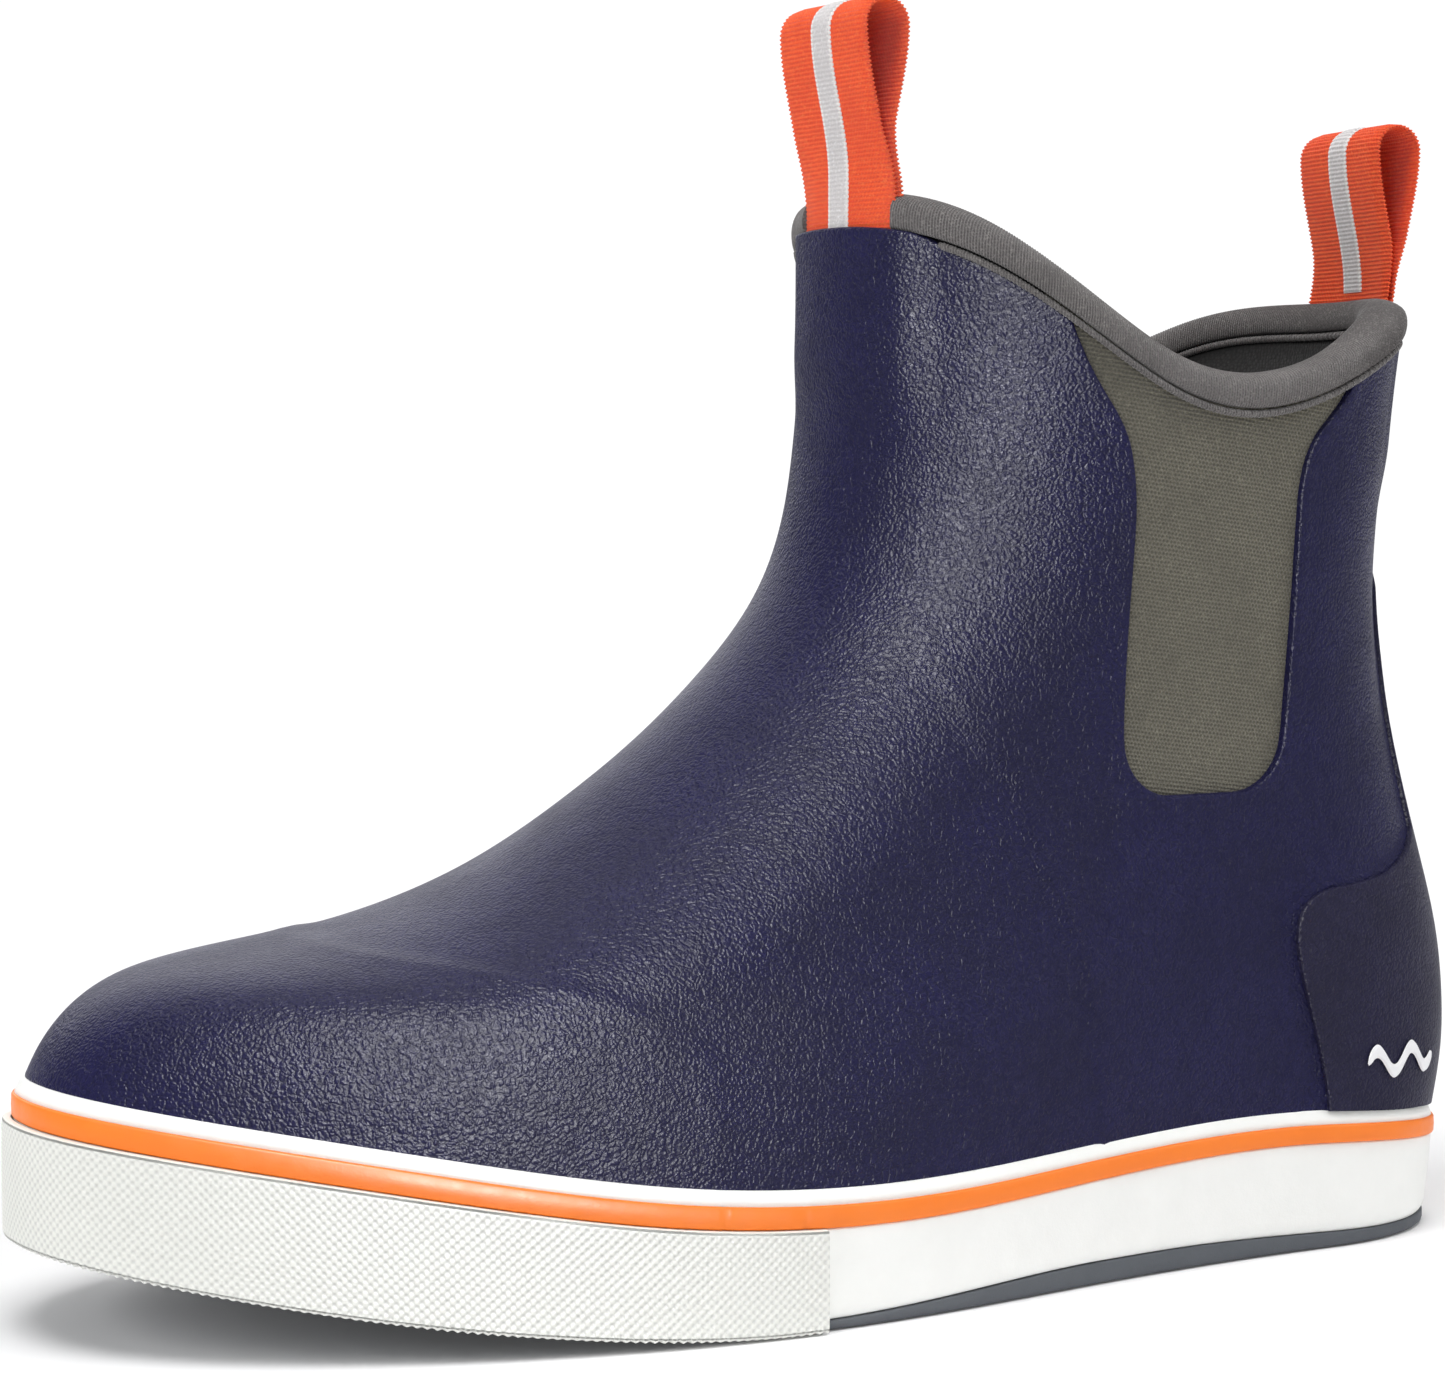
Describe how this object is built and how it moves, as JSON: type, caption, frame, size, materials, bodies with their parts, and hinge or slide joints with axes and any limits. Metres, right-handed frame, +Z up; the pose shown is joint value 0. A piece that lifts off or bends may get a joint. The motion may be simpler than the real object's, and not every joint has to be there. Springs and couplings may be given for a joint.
{
  "type": "deck boot",
  "caption": "Pull-on rubber deck boot, left foot: neoprene-lined upper with knit side gores, bound collar, webbing pull loops, foxed sole and toe bumper.",
  "frame": {"origin": "on the ground, under the middle of the boot's length and width", "axes": "toe towards -Y, heel towards +Y, wearer's outer (lateral) side towards +X, +Z up"},
  "size_m": [0.1148, 0.3032, 0.2469],
  "materials": {
    "outsole_rubber": "moulded grey rubber, matt",
    "white_rubber": "moulded white rubber, satin",
    "orange_rubber": "moulded orange rubber, satin",
    "navy_rubber": "dark navy rubber with a fine leather grain, semi-matt",
    "navy_overlay": "dark navy rubber with a fine leather grain, semi-matt",
    "gore_knit": "olive ribbed elastic knit",
    "binding_knit": "grey ribbed knit binding",
    "webbing": "orange ribbed webbing",
    "reflective": "silver-grey woven reflective stripe",
    "neoprene": "black foam neoprene",
    "lining_knit": "dark brushed knit lining",
    "foam": "dark foam",
    "board": "pressed fibre board"
  },
  "bodies": {
    "boot": {"outsole": "outsole_rubber", "midsole": "foam", "insole_board": "board", "foxing_sidewall": "white_rubber", "toe_bumper": "white_rubber", "orange_stripe": "orange_rubber", "foxing_top_line": "white_rubber", "rubber_upper": "navy_rubber", "toe_reinforcement": "neoprene", "quarter_reinforcement_lateral": "neoprene", "quarter_reinforcement_medial": "neoprene", "heel_stiffener": "board", "heel_overlay": "navy_overlay", "heel_badge": "white_rubber", "gore_lateral": "gore_knit", "gore_medial": "gore_knit", "neoprene_bootie": "neoprene", "lining": "lining_knit", "footbed_foam": "foam", "footbed_cover": "lining_knit", "collar_binding": "binding_knit", "piping_lateral": "binding_knit", "piping_medial": "binding_knit", "piping_inner": "binding_knit", "front_loop_tail": "webbing", "rear_loop_tail": "webbing"},
    "front_loop": {"front_pull_loop": "webbing", "front_loop_stripe": "reflective"},
    "rear_loop": {"rear_pull_loop": "webbing", "rear_loop_stripe": "reflective"}
  },
  "joints": [
    {"name": "front_loop_flop", "type": "hinge", "parent": "boot", "child": "front_loop", "pos_m": [0.00486, 0.01188, 0.2112], "axis": [0.9976, 0.0698, 0], "range_deg": [-50, 75], "stiffness_Nm_per_rad": 0.02},
    {"name": "rear_loop_flop", "type": "hinge", "parent": "boot", "child": "rear_loop", "pos_m": [0.00486, 0.13528, 0.1922], "axis": [0.9962, -0.0872, 0], "range_deg": [-75, 50], "stiffness_Nm_per_rad": 0.02}
  ]
}
